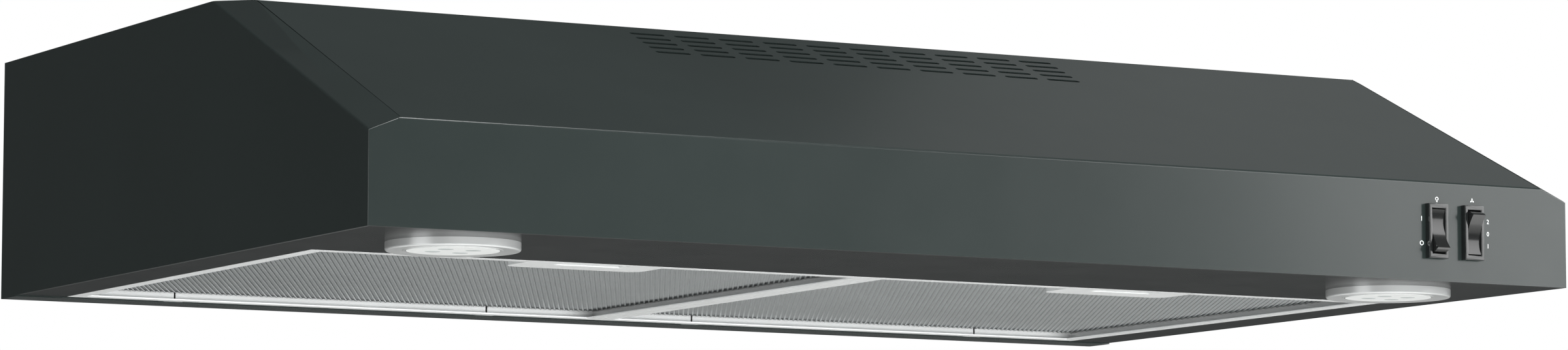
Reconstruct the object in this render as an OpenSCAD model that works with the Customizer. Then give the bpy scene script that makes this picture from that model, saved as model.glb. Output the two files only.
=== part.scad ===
// Under cabinet range hood of the 30 inch class: a recirculating hood with two mesh
// filters that swing down, two lamps, two rocker switches and a centrifugal blower.
// X runs to the right, the front faces -Y and Z points up. The origin is the middle of
// the rear top edge, where the cabinet meets the wall. Sizes are in millimetres.

/* [Hood body] */
// Overall width
hood_w = 758.8; // [740:0.1:914]
// Overall depth, from the wall to the front panel
hood_d = 514; // [480:0.5:620]
// Height of the body above its rear flange
hood_h = 139.7; // [136:0.1:170]
// Thickness of every body sheet
sheet_t = 0.8; // [0.6:0.1:1.2]
// Height of the front panel at its middle
front_h = 56.8; // [52:0.1:64]
// Angle of the slope above the front panel
slope_a = 24; // [22:0.1:28]
// Width of the bevel at each end of the slope
bevel_w = 18.2; // [12:0.1:24]
// Drop of the bevel at the outer corners of the front panel
bevel_drop = 7.4; // [4:0.1:10]
// Gap between the slope and each bevel
seam_gap = 0.6; // [0.3:0.1:1]
// Width of the lap flange that carries the slope on each side panel
lap_w = 12; // [8:1:16]

/* [Underside] */
// Depth of the pan in front of the filters
pan_front = 137.5; // [125:0.5:150]
// Width of the pan beside the filters
pan_side = 30.5; // [24:0.5:40]
// Depth of the rear flange
rear_flange = 24; // [20:0.5:30]
// Height of the pan's folded edges
pan_lip = 12; // [8:1:20]
// Outer radius of the pan's folds
pan_fold_r = 1.4; // [1.2:0.1:2]

/* [Vents] */
// Number of vent slots in a row
vent_cols = 10; // [6:1:12]
// Number of vent rows
vent_rows = 5; // [3:1:6]
// Length of a vent slot
vent_len = 22; // [16:0.5:24]
// Width of a vent slot
vent_w = 3.4; // [2:0.1:4]
// Distance from one slot to the next in a row
vent_pitch = 28.4; // [26:0.1:30]
// Distance from one row to the next
vent_row_pitch = 8.6; // [7:0.1:10]
// Distance from the top edge down to the first row
vent_top = 13; // [10:0.5:20]

/* [Filters] */
// Thickness of the filter frame
filter_t = 9.5; // [9:0.1:12]
// Width of the frame's flanges
filter_flange = 8.7; // [7:0.1:10]
// Height of the mesh above the frame's lower face
mesh_rise = 4.7; // [4.5:0.1:5.5]
// Gap between the filters and the pan
filter_gap = 0.6; // [0.4:0.1:1]
// Gap at the front edge of the filters
filter_front_gap = 1; // [0.8:0.1:1.5]
// Width of a latch plate
latch_w = 84; // [70:1:90]
// Depth of a latch plate
latch_d = 38; // [36:1:44]
// Travel of a latch slider
latch_travel = 6; // [4:0.5:6]

/* [Lamps] */
// Outer radius of a lamp ring
lamp_r = 36; // [33:0.5:40]
// Distance a lamp ring stands below the pan
lamp_drop = 4.6; // [3.5:0.1:6]
// Distance from the hood's middle to a lamp
lamp_x = 300; // [260:1:320]
// Distance from the front panel to a lamp's middle
lamp_y = 65; // [60:1:80]

/* [Switches] */
// Distance from the hood's middle to the light switch
light_x = 287; // [240:1:300]
// Distance between the two switches
switch_pitch = 24.9; // [22:0.1:40]
// Width of a switch bezel
bezel_w = 13.2; // [12:0.1:16]
// Height of a switch bezel
bezel_h = 31.2; // [28:0.1:34]
// Distance a bezel stands in front of the panel
bezel_t = 4; // [3:0.1:5]
// Tilt of a rocker from its middle position
rocker_tilt = 13; // [10:0.5:15]

/* [Blower] */
// Outer radius of the blower wheel
wheel_r = 84; // [70:1:88]
// Number of blades
blade_count = 36; // [24:1:48]
// Height of the blower wheel
wheel_h = 66; // [50:1:70]
// Distance from the wall to the blower's axis
blower_y = 165; // [160:1:180]
// Radius of the motor
motor_r = 42; // [34:1:46]
// Radius of the motor shaft
shaft_r = 4; // [3:0.5:5]

/* [Hidden] */
$fn = 64;
eps = 0.01;
big = 900;

// Body planes and edges.
x_side = hood_w / 2;
x_in = x_side - sheet_t;
x_ridge = x_side - bevel_w;
y_front = -hood_d;
y_front_in = y_front + sheet_t;
y_back_in = -sheet_t;
z_bot = -hood_h;
z_ridge = z_bot + front_h;
z_corner = z_ridge - bevel_drop;
y_top = y_front - z_ridge / tan(slope_a);

// Filter bay.
y_open = y_front + pan_front;
y_flange = -rear_flange;
x_open = x_side - pan_side;
z_pan_top = z_bot + sheet_t;
filter_y0 = y_open + filter_front_gap;
filter_y1 = y_flange - 2.5;
filter_x0 = filter_gap / 2;
filter_x1 = x_open - filter_gap;
filter_cx = (filter_x0 + filter_x1) / 2;
filter_w = filter_x1 - filter_x0;
filter_d = filter_y1 - filter_y0;
z_mesh = z_bot + mesh_rise;
z_frame_top = z_bot + filter_t;
tab_offsets = [-106, 100];
tab_w = 12;
tab_reach = 10;
tab_lift = 0.05;
slit_w = 1.2;

// Latches.
slider_w = 48;
slider_t = 1.2;
slider_y0 = filter_y0 + 2;
slider_y1 = filter_y0 + 24;
slider_lift = 0.1;
slider_z = z_pan_top + slider_lift;
slot_w = 41;
slot_y0 = filter_y0 + 4.5;
finger_y = slot_y0 + 1.5;
finger_t = 1.5;
slot_y1 = finger_y + finger_t + latch_travel + 4.5;
tongue_w = 18;
tongue_reach = 0.6;
spring_r = 1.35;
spring_wire = 0.35;
spring_coils = 7;
latch_y1 = filter_y0 + latch_d;

// Lamps.
lens_r = 24.8;
lens_rise = 0.2;
lens_z = z_bot - lamp_drop + lens_rise;
lens_t = 1.8;
can_r = lens_r + 2.4;
can_h = 16;
pan_hole_r = can_r + 1.1;
lens_flange = 1;
board_z = lens_z + lens_t + lens_flange;
board_t = 1.6;

// Switches.
switch_z = z_bot + front_h / 2;
fan_x = light_x + switch_pitch;
bezel_face_y = y_front - bezel_t;
rocker_w = 8.6;
rocker_r = 12.6;
pivot_y = bezel_face_y + 3;
pivot_r = 1;
pivot_len = 1.2;
body_w = 11;
body_h = 27.4;
body_back_y = y_front + 17;

// Blower.
z_baffle = z_bot + 19.7;
z_baffle_top = z_baffle + sheet_t;
baffle_y0 = y_open - 9;
housing_t = 1;
housing_h = wheel_h + 20;
scroll_cut_r = wheel_r + 8;
scroll_end_r = wheel_r + 42;
scroll_cut_a = -110;
scroll_end_a = 180;
scroll_steps = 48;
scroll_throat = 140;
inlet_r = wheel_r - 10;
wheel_z = z_baffle_top + 6;
hub_z = wheel_z + wheel_h - 3;
motor_z0 = z_baffle - 0.2;
motor_h = 54;
shaft_fit = 0.05;
shaft_top = hub_z + 14;
bracket_t = 2;
bracket_hole_r = inlet_r + 8;
screw_r = 2;
screw_fit = 0.05;

// Wiring box and capacitor.
box_w = 100;
box_d = 60;
box_h = 45;
box_x = x_side - 170;
box_y = -90;
box_cover_t = 1;
box_screw_r = 1.5;
wire_hole_r = 11.1;
capacitor_r = 15;
capacitor_len = 60;
capacitor_x = -235;
capacitor_y = -150;

// Keyholes for the cabinet screws.
keyhole_x = x_side - 90;
keyhole_y = [-45, y_top + 43];
keyhole_r = 5;
keyhole_slot_r = 2.6;
keyhole_len = 14;

// ---- Helpers ----

// Draws a side outline, given as [y, z], as a solid centred on X.
module along_x(len) {
    rotate([90, 0, 90]) linear_extrude(height = len, center = true) children();
}

// Draws a front outline, given as [x, z], from y0 towards the rear.
module along_y(y0, len) {
    translate([0, y0 + len, 0]) rotate([90, 0, 0]) linear_extrude(height = len) children();
}

// A box from its low corner to its high corner.
module span(low, high) {
    translate(low) cube(high - low);
}

// Puts a part in the slope's own frame: X across, Y up the slope, Z out of it.
module on_slope() {
    translate([0, y_front, z_ridge]) rotate([slope_a, 0, 0]) children();
}

// Repeats a part on the left, or leaves it on the right.
module on_side(left) {
    mirror([left ? 1 : 0, 0, 0]) children();
}

// A flat slot with round ends along X.
module slot_outline(len, width) {
    square([len - width, width], center = true);
    for (end = [-1, 1]) translate([end * (len - width) / 2, 0]) circle(d = width);
}

// A rectangle with two round corners at its high Y side.
module latch_outline(width, low, high, radius) {
    translate([-width / 2, low]) square([width, high - low - radius]);
    translate([-width / 2 + radius, low]) square([width - 2 * radius, high - low]);
    for (end = [-1, 1]) translate([end * (width / 2 - radius), high - radius]) circle(radius);
}

// A pan head screw that points along +Z, with its head below z = 0.
module screw_up(radius, len) {
    cylinder(r = radius, h = len);
    translate([0, 0, -radius]) cylinder(r = 1.9 * radius, h = radius);
}

// ---- Body sheets ----

// The bent sheet of top, slope and front panel, seen from the side.
module canopy_section() {
    drop = sheet_t / cos(slope_a);
    z_in = z_ridge - drop + sheet_t * tan(slope_a);
    y_in = y_front + (drop - sheet_t - z_ridge) / tan(slope_a);
    polygon([
        [y_front, z_bot], [y_front, z_ridge], [y_top, 0], [0, 0],
        [0, -sheet_t], [y_in, -sheet_t], [y_front_in, z_in], [y_front_in, z_bot]
    ]);
}

// The front panel's outline, with its bevelled corners.
module front_outline() {
    polygon([
        [-x_side, z_bot], [x_side, z_bot], [x_side, z_corner],
        [x_ridge, z_ridge], [-x_ridge, z_ridge], [-x_side, z_corner]
    ]);
}

// The slots through the slope.
module vent_cuts() {
    slope_len = -z_ridge / sin(slope_a);
    first_x = -(vent_cols - 1) * vent_pitch / 2;
    on_slope()
        for (row = [0:vent_rows - 1], col = [0:vent_cols - 1])
            translate([first_x + col * vent_pitch, slope_len - vent_top - row * vent_row_pitch, -5])
                linear_extrude(height = 10) slot_outline(vent_len, vent_w);
}

// Keyholes: the screw head enters the round end and slides forward.
module keyhole_cuts() {
    for (side = [-1, 1], y = keyhole_y)
        translate([side * keyhole_x, y, -5]) {
            cylinder(r = keyhole_r, h = 10);
            translate([-keyhole_slot_r, 0, 0]) cube([2 * keyhole_slot_r, keyhole_len, 10]);
            translate([0, keyhole_len, 0]) cylinder(r = keyhole_slot_r, h = 10);
        }
}

module canopy_shell() {
    color("#3d4342") difference() {
        union() {
            along_x(2 * x_ridge - seam_gap) canopy_section();
            along_y(y_front, sheet_t) front_outline();
        }
        vent_cuts();
        keyhole_cuts();
        translate([box_x, box_y + box_d / 2, -5]) cylinder(r = wire_hole_r, h = 10);
        for (x = [light_x, fan_x])
            span([x - body_w / 2, y_front - 5, switch_z - body_h / 2],
                 [x + body_w / 2, y_front + 5, switch_z + body_h / 2]);
    }
}

// Right side panel in the slope's frame: plate, bevel and lap flange in one outline.
module side_section() {
    v_corner = -bevel_drop * cos(slope_a);
    bevel_a = atan(-v_corner / bevel_w);
    x_seam = x_ridge + seam_gap / 2;
    v_seam = -seam_gap / 2 * tan(bevel_a);
    v_in = v_corner - sheet_t * (1 / cos(bevel_a) - tan(bevel_a));
    polygon([
        [x_side, -big], [x_side, v_corner], [x_seam, v_seam], [x_seam, -sheet_t],
        [x_seam - lap_w, -sheet_t], [x_seam - lap_w, -2 * sheet_t],
        [x_seam + 2.2 * sheet_t, -2 * sheet_t], [x_in, v_in], [x_in, -big]
    ]);
}

// Top flange of the right side panel, with its lap under the top sheet.
module side_top_flange() {
    x_seam = x_ridge + seam_gap / 2;
    y_corner = y_front - z_corner / tan(slope_a);
    y_lap = y_top + 6;
    translate([0, 0, -sheet_t]) linear_extrude(height = sheet_t)
        polygon([[x_seam, 0], [x_side, 0], [x_side, y_corner], [x_seam, y_top + seam_gap / 2]]);
    span([x_seam - lap_w, y_lap, -2 * sheet_t], [x_seam + sheet_t, y_back_in, -sheet_t]);
}

module side_panel(left) {
    color("#2b3130") on_side(left) intersection() {
        union() {
            difference() {
                on_slope() translate([0, big, 0]) rotate([90, 0, 0])
                    linear_extrude(height = 2 * big) side_section();
                span([0, y_front, -sheet_t], [x_ridge + seam_gap / 2, 0, big]);
            }
            side_top_flange();
        }
        span([0, y_front_in, z_bot], [x_side, 0, 0]);
    }
}

module back_panel() {
    color("#2b3130") {
        span([-x_in, y_back_in, z_bot - sheet_t], [x_in, 0, -sheet_t]);
        span([-x_side, y_flange, z_bot - sheet_t], [x_side, 0, z_bot]);
    }
}

// What a fold takes off a square corner at the outline's origin.
module fold_cut() {
    difference() {
        translate([-1, -1]) square(pan_fold_r + 1);
        translate([pan_fold_r, pan_fold_r]) circle(pan_fold_r);
        translate([pan_fold_r, -1]) square(2);
    }
}

module bottom_pan() {
    bay_lip = 8;
    color("#3b3c3b") difference() {
        union() {
            span([-x_in, y_front_in, z_bot], [x_in, y_open, z_pan_top]);
            span([-x_in, y_front_in, z_bot], [x_in, y_front_in + sheet_t, z_bot + pan_lip]);
            for (left = [false, true]) on_side(left) {
                span([x_open, y_open - 1, z_bot], [x_in, y_back_in, z_pan_top]);
                span([x_in - sheet_t, y_front_in, z_bot], [x_in, y_back_in, z_bot + pan_lip]);
                span([x_open, y_open, z_bot], [x_open + sheet_t, y_flange, z_bot + bay_lip]);
            }
        }
        along_x(2 * x_side) translate([y_front_in, z_bot]) fold_cut();
        for (left = [false, true]) on_side(left) {
            translate([x_in, 0, 0]) mirror([1, 0, 0])
                along_y(y_front, hood_d) translate([0, z_bot]) fold_cut();
            translate([lamp_x, y_front + lamp_y, z_bot - 1]) cylinder(r = pan_hole_r, h = 5);
        }
    }
}

module baffle_plate() {
    flange = 10;
    color("#8f9596") difference() {
        union() {
            span([-x_in, baffle_y0, z_baffle], [x_in, y_back_in, z_baffle_top]);
            span([-x_in + 2, baffle_y0, z_pan_top], [x_in - 2, baffle_y0 + sheet_t, z_baffle_top]);
            for (left = [false, true]) on_side(left)
                span([x_in - sheet_t, baffle_y0, z_baffle], [x_in, y_back_in, z_baffle + flange]);
        }
        translate([0, -blower_y, z_baffle - 1]) cylinder(r = inlet_r, h = 5);
        blower_screw_places() translate([0, 0, -5]) cylinder(r = screw_r + screw_fit, h = 10);
        bracket_screw_places() translate([0, 0, -5]) cylinder(r = screw_r + screw_fit, h = 10);
    }
}

// ---- Filters ----

// A rectangular ring in plan, cut in from the filter's outer edge.
module filter_ring(inset) {
    translate([filter_x0, filter_y0]) difference() {
        square([filter_w, filter_d]);
        translate([inset, inset]) square([filter_w - 2 * inset, filter_d - 2 * inset]);
    }
}

// Both filters are the same part, so the left one's tabs aren't mirrored.
function tab_places(left) = [for (x = tab_offsets) filter_cx + (left ? -x : x)];

module filter_frame(left) {
    color("#c9cccc") on_side(left) difference() {
        union() {
            translate([0, 0, z_bot]) linear_extrude(height = sheet_t) filter_ring(filter_flange);
            translate([0, 0, z_bot]) linear_extrude(height = filter_t) filter_ring(sheet_t);
            translate([0, 0, z_frame_top - sheet_t])
                linear_extrude(height = sheet_t) filter_ring(filter_flange);
            for (x = tab_places(left))
                translate([x - tab_w / 2, filter_y1 - sheet_t, z_bot + tab_lift])
                    cube([tab_w, tab_reach + sheet_t, 1]);
        }
        span([filter_cx - latch_w / 2, filter_y0 + sheet_t, z_bot - 1],
             [filter_cx + latch_w / 2, filter_y0 + filter_flange + 1, z_pan_top + eps]);
        span([filter_cx - tongue_w / 2 - 0.5, filter_y0 - 1, z_pan_top],
             [filter_cx + tongue_w / 2 + 0.5, filter_y0 + sheet_t + 1, z_pan_top + slider_t + 0.4]);
        for (x = tab_places(left))
            translate([x - slit_w / 2, filter_y1 - sheet_t - 1, z_bot + 1.6])
                cube([slit_w, sheet_t + 2, 4]);
    }
}

module filter_mesh(left) {
    color("#9aa0a2") on_side(left)
        span([filter_x0 + sheet_t, filter_y0 + sheet_t, z_mesh],
             [filter_x1 - sheet_t, filter_y1 - sheet_t, z_frame_top - sheet_t]);
}

module latch_plate(left) {
    corner_r = 9;
    wall_y0 = filter_y0 + filter_flange;
    color("#dfe1e1") on_side(left) translate([filter_cx, 0, z_bot]) {
        linear_extrude(height = sheet_t) difference() {
            latch_outline(latch_w, filter_y0 + sheet_t, latch_y1, corner_r);
            translate([0, (slot_y0 + slot_y1) / 2]) square([slot_w, slot_y1 - slot_y0], center = true);
        }
        linear_extrude(height = mesh_rise) difference() {
            latch_outline(latch_w, wall_y0, latch_y1, corner_r);
            latch_outline(latch_w - 2 * sheet_t, wall_y0 - 1, latch_y1 - sheet_t, corner_r - sheet_t);
        }
    }
}

module latch_slider(left) {
    post_h = 3.4;
    color("#b9bdbd") on_side(left) translate([filter_cx, 0, 0]) {
        span([-slider_w / 2, slider_y0, slider_z], [slider_w / 2, slider_y1, slider_z + slider_t]);
        span([-tongue_w / 2, filter_y0 - tongue_reach, slider_z],
             [tongue_w / 2, slider_y0 + 1, slider_z + slider_t]);
        span([-slot_w / 2 + 2, finger_y, z_bot + 0.1],
             [slot_w / 2 - 2, finger_y + finger_t, slider_z + eps]);
        span([-4, slider_y1 - 1, slider_z], [4, slider_y1, slider_z + post_h]);
    }
}

// A closed bellows outline stands for the coils of the return spring.
module latch_spring(left) {
    length = latch_y1 - sheet_t - slider_y1;
    pitch = length / spring_coils;
    core_r = spring_r - 2 * spring_wire;
    color("#8a8f90") on_side(left)
        translate([filter_cx, slider_y1, slider_z + 1.9]) rotate([-90, 0, 0])
            rotate_extrude($fn = 32) polygon([
                [core_r - spring_wire, 0],
                for (i = [0:spring_coils - 1]) each [
                    [core_r, i * pitch], [spring_r, (i + 0.5) * pitch]
                ],
                [core_r, length], [core_r - spring_wire, length]
            ]);
}

// ---- Lamps ----

module at_lamp(left) {
    on_side(left) translate([lamp_x, y_front + lamp_y, 0]) children();
}

// Turned ring: a flange under the pan and a sleeve up through it. Its face is dished
// down to a lip round the lens.
module lamp_ring(left) {
    rim = 1.2;
    lip = 1.2;
    lip_rise = 0.3;
    inner_r = lens_r + 0.4;
    seat_z = lens_t + lens_rise - lamp_drop;
    color("#d8dada") at_lamp(left) translate([0, 0, z_bot]) rotate_extrude($fn = 96) {
        difference() {
            union() {
                translate([inner_r, rim - lamp_drop]) square([lamp_r - inner_r, lamp_drop - rim]);
                polygon([
                    [inner_r, lip_rise - lamp_drop], [inner_r + lip, lip_rise - lamp_drop],
                    [inner_r + lip + 0.3, 2 * lip_rise - lamp_drop], [lamp_r - 2 * rim, -lamp_drop],
                    [lamp_r - rim, -lamp_drop], [lamp_r - rim, rim - lamp_drop + eps],
                    [inner_r, rim - lamp_drop + eps]
                ]);
                intersection() {
                    translate([lamp_r - rim, rim - lamp_drop]) circle(rim);
                    translate([lamp_r - rim, -lamp_drop]) square([rim, rim]);
                }
            }
            translate([0, seat_z]) square([inner_r + 1, lamp_drop]);
        }
        translate([inner_r + 1, seat_z]) square([1, can_h - seat_z]);
    }
}

module lamp_lens(left) {
    color("#f6f6f2") at_lamp(left) translate([0, 0, lens_z]) {
        cylinder(r = lens_r, h = lens_t);
        translate([0, 0, lens_t]) difference() {
            cylinder(r = lens_r + 1.2, h = lens_flange);
            translate([0, 0, -eps]) cylinder(r = lens_r - 2, h = 2 * lens_flange);
        }
    }
}

module lamp_board(left) {
    chip = 3;
    chip_place = 10.6;
    color("#e9ead8") at_lamp(left) {
        translate([0, 0, board_z]) cylinder(r = lens_r + 1.2, h = board_t);
        for (a = [45:90:315]) rotate([0, 0, a])
            translate([chip_place, 0, board_z]) cube([chip, chip, 0.8], center = true);
    }
}

// Two bent spring strips hook over the pan's hole.
module lamp_clips(left) {
    strip_t = 0.5;
    foot = 6;
    color("#a7abad") at_lamp(left) for (a = [0, 180]) rotate([0, 0, a])
        along_y_strip(8) polygon([
            [can_r, z_bot + can_h], [can_r + strip_t, z_bot + can_h],
            [can_r + strip_t + foot, z_pan_top + strip_t], [can_r + strip_t + foot, z_pan_top],
            [can_r + foot - strip_t, z_pan_top], [can_r, z_bot + can_h - 2]
        ]);
}

// Extrudes an [x, z] outline symmetrically about y = 0.
module along_y_strip(width) {
    translate([0, width / 2, 0]) rotate([90, 0, 0]) linear_extrude(height = width) children();
}

// ---- Switches ----

module switch_body(x) {
    cavity_h = 2 * rocker_r + 0.6;
    color("#1b1c1c") translate([x, 0, switch_z]) difference() {
        union() {
            span([-bezel_w / 2, bezel_face_y, -bezel_h / 2], [bezel_w / 2, y_front, bezel_h / 2]);
            span([-body_w / 2, y_front - eps, -body_h / 2], [body_w / 2, body_back_y, body_h / 2]);
        }
        span([-rocker_w / 2 - 0.2, bezel_face_y - 1, -cavity_h / 2],
             [rocker_w / 2 + 0.2, pivot_y + 8, cavity_h / 2]);
        translate([0, pivot_y, 0]) rotate([0, 90, 0])
            cylinder(r = pivot_r + shaft_fit, h = rocker_w + 2 * pivot_len, center = true);
    }
}

// Rocker in the pose set by its tilt: an arc-ended block with a hollow front.
module rocker(x, tilt) {
    hollow_dip = 2.2;
    corner_z = 11.4;
    corner_y = sqrt(rocker_r * rocker_r - corner_z * corner_z);
    sag = corner_y - hollow_dip;
    hollow_r = (corner_z * corner_z + sag * sag) / (2 * sag);
    color("#232424") translate([x, pivot_y, switch_z]) rotate([tilt, 0, 0]) {
        along_x(rocker_w) difference() {
            circle(rocker_r, $fn = 96);
            translate([3, -big / 2]) square(big);
            translate([-hollow_r - hollow_dip, 0]) circle(hollow_r, $fn = 128);
        }
        rotate([0, 90, 0]) cylinder(r = pivot_r, h = rocker_w + 2 * pivot_len - 0.4, center = true);
    }
}

module switch_terminals() {
    blade = [0.8, 9, 6.3];
    color("#c9a44a")
        for (x = [light_x, fan_x], dz = x == light_x ? [-8, 8] : [-9, 0, 9])
            translate([x - blade[0] / 2, body_back_y, switch_z + dz - blade[2] / 2]) cube(blade);
}

// ---- Blower ----

module at_blower() {
    translate([0, -blower_y, 0]) children();
}

module blower_screw_places() {
    reach = 7;
    for (a = [-30, 60, 165])
        translate([(scroll_r(a) + reach) * cos(a), (scroll_r(a) + reach) * sin(a) - blower_y, z_baffle])
            children();
    translate([-scroll_end_r - reach, 12 - scroll_throat - blower_y, z_baffle]) children();
}

module bracket_screw_places() {
    for (a = [90, 210, 330])
        translate([bracket_hole_r * cos(a), -blower_y + bracket_hole_r * sin(a), z_baffle]) children();
}

// The scroll grows from the cut-off to its end, then runs straight to the throat.
function scroll_r(a) =
    scroll_cut_r + (scroll_end_r - scroll_cut_r) * (a - scroll_cut_a) / (scroll_end_a - scroll_cut_a);

function scroll_points(grow, run) = [
    for (i = [0:scroll_steps])
        let (a = scroll_cut_a + i * (scroll_end_a - scroll_cut_a) / scroll_steps)
            [(scroll_r(a) + grow) * cos(a), (scroll_r(a) + grow) * sin(a)],
    [-scroll_end_r - grow, -run],
    [scroll_cut_r * cos(scroll_cut_a) + grow, -run]
];

module blower_housing() {
    ear_r = 9;
    color("#a9adae") difference() {
        union() {
            at_blower() translate([0, 0, z_baffle_top]) linear_extrude(height = housing_h)
                polygon(scroll_points(housing_t, scroll_throat));
            blower_screw_places() translate([0, 0, sheet_t]) cylinder(r = ear_r, h = 1.5);
        }
        at_blower() translate([0, 0, z_baffle_top - 1]) linear_extrude(height = housing_h + 1 - housing_t)
            polygon(scroll_points(0, scroll_throat + 1));
        blower_screw_places() translate([0, 0, -5]) cylinder(r = screw_r + screw_fit, h = 15);
    }
}

module blower_wheel() {
    blade_w = 16;
    blade_t = 0.8;
    hub_r = 10;
    color("#777b7d") at_blower() {
        for (i = [0:blade_count - 1]) rotate([0, 0, i * 360 / blade_count])
            translate([wheel_r - 1.4, 0, wheel_z]) rotate([0, 0, 28])
                translate([-blade_w, -blade_t / 2, 0]) cube([blade_w, blade_t, wheel_h - 1]);
        translate([0, 0, wheel_z]) difference() {
            cylinder(r = wheel_r, h = 2);
            translate([0, 0, -1]) cylinder(r = wheel_r - 14, h = 4);
        }
        translate([0, 0, hub_z]) difference() {
            union() {
                cylinder(r = wheel_r, h = 3);
                cylinder(r = hub_r, h = 8);
            }
            translate([0, 0, -1]) cylinder(r = shaft_r, h = 20);
        }
    }
}

module motor() {
    color("#8b8f91") at_blower() difference() {
        union() {
            translate([0, 0, motor_z0]) cylinder(r = motor_r, h = motor_h);
            translate([0, 0, motor_z0 + motor_h]) cylinder(r = 13, h = 4);
            translate([0, 0, motor_z0 + motor_h / 2 - 8]) cylinder(r = motor_r + 1.5, h = 16);
        }
        translate([0, 0, motor_z0 + 6]) cylinder(r = shaft_r + shaft_fit, h = motor_h);
    }
}

module motor_shaft() {
    color("#d0d3d4") at_blower() translate([0, 0, motor_z0 + 6.5])
        cylinder(r = shaft_r, h = shaft_top - motor_z0 - 6.5);
}

module wheel_nut() {
    color("#c4c7c8") at_blower() translate([0, 0, hub_z + 8]) difference() {
        cylinder(r = 7.5, h = 5, $fn = 6);
        translate([0, 0, -1]) cylinder(r = shaft_r, h = 7);
    }
}

// Three arms under the baffle hold the motor in the blower's inlet.
module motor_bracket() {
    arm_w = 14;
    color("#9ca0a2") difference() {
        union() {
            at_blower() {
                translate([0, 0, motor_z0 - bracket_t]) cylinder(r = motor_r - 8, h = bracket_t);
                for (a = [90, 210, 330]) rotate([0, 0, a])
                    translate([0, -arm_w / 2, motor_z0 - bracket_t])
                        cube([bracket_hole_r + 8, arm_w, bracket_t]);
            }
            bracket_screw_places() translate([0, 0, motor_z0 - bracket_t - z_baffle])
                cylinder(r = 6, h = bracket_t - (motor_z0 - z_baffle));
        }
        bracket_screw_places() translate([0, 0, -5]) cylinder(r = screw_r + screw_fit, h = 10);
    }
}

module blower_screws() {
    color("#d0d3d4") blower_screw_places() screw_up(screw_r, 6);
}

module bracket_screws() {
    color("#d0d3d4") bracket_screw_places()
        translate([0, 0, motor_z0 - bracket_t - z_baffle]) screw_up(screw_r, 6);
}

// ---- Wiring ----

module wiring_box() {
    wall = 1;
    color("#a9adae") translate([box_x, box_y, -sheet_t - box_h]) difference() {
        translate([-box_w / 2, 0, 0]) cube([box_w, box_d, box_h]);
        translate([-box_w / 2 + wall, wall, -1]) cube([box_w - 2 * wall, box_d - 2 * wall, box_h + 2]);
    }
}

module box_screw_places() {
    for (side = [-1, 1])
        translate([box_x + side * (box_w / 2 - 6), box_y + box_d / 2, -sheet_t - box_h]) children();
}

module wiring_box_cover() {
    color("#b4b8b9") difference() {
        translate([box_x - box_w / 2, box_y, -sheet_t - box_h - box_cover_t]) cube([box_w, box_d, box_cover_t]);
        box_screw_places() translate([0, 0, -5]) cylinder(r = box_screw_r + screw_fit, h = 10);
    }
}

module box_cover_screws() {
    color("#d0d3d4") box_screw_places() translate([0, 0, -box_cover_t]) screw_up(box_screw_r, 7);
}

module capacitor() {
    color("#e4e5e0") translate([capacitor_x, capacitor_y, z_baffle_top + capacitor_r])
        rotate([0, 90, 0]) cylinder(r = capacitor_r, h = capacitor_len, center = true);
}

module capacitor_strap() {
    strap_w = 12;
    strap_t = 1;
    foot = 12;
    color("#9ca0a2") translate([capacitor_x, capacitor_y, z_baffle_top]) difference() {
        union() {
            translate([0, 0, capacitor_r]) rotate([0, 90, 0])
                cylinder(r = capacitor_r + strap_t, h = strap_w, center = true);
            span([-strap_w / 2, -capacitor_r - foot, 0], [strap_w / 2, capacitor_r + foot, strap_t]);
            span([-strap_w / 2, -capacitor_r - strap_t, 0], [strap_w / 2, capacitor_r + strap_t, capacitor_r]);
        }
        translate([0, 0, capacitor_r]) rotate([0, 90, 0])
            cylinder(r = capacitor_r, h = strap_w + 2, center = true);
        span([-strap_w, -capacitor_r, -1], [strap_w, capacitor_r, capacitor_r]);
        translate([0, 0, -50]) cube([big, big, 100], center = true);
    }
}

canopy_shell();
side_panel(true);  // side_panel_left
side_panel(false);  // side_panel_right
back_panel();
bottom_pan();
baffle_plate();
filter_frame(true);  // filter_frame_left
filter_frame(false);  // filter_frame_right
filter_mesh(true);  // filter_mesh_left
filter_mesh(false);  // filter_mesh_right
latch_plate(true);  // latch_plate_left
latch_plate(false);  // latch_plate_right
latch_slider(true);  // latch_slider_left
latch_slider(false);  // latch_slider_right
latch_spring(true);  // latch_spring_left
latch_spring(false);  // latch_spring_right
lamp_ring(true);  // lamp_ring_left
lamp_ring(false);  // lamp_ring_right
lamp_lens(true);  // lamp_lens_left
lamp_lens(false);  // lamp_lens_right
lamp_board(true);  // lamp_board_left
lamp_board(false);  // lamp_board_right
lamp_clips(true);  // lamp_clips_left
lamp_clips(false);  // lamp_clips_right
switch_body(light_x);  // light_switch_body
rocker(light_x, -rocker_tilt);  // light_rocker
switch_body(fan_x);  // fan_switch_body
rocker(fan_x, rocker_tilt);  // fan_rocker
switch_terminals();
blower_housing();
blower_wheel();
motor();
motor_shaft();
wheel_nut();
motor_bracket();
blower_screws();
bracket_screws();
wiring_box();
wiring_box_cover();
box_cover_screws();
capacitor();
capacitor_strap();
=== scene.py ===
"""Finishes and fine detail of an under cabinet range hood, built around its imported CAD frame."""

import logging
import math
from dataclasses import dataclass
from enum import Enum
from typing import Callable, Sequence

import bmesh
import bpy
from mathutils import Matrix, Vector


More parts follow.
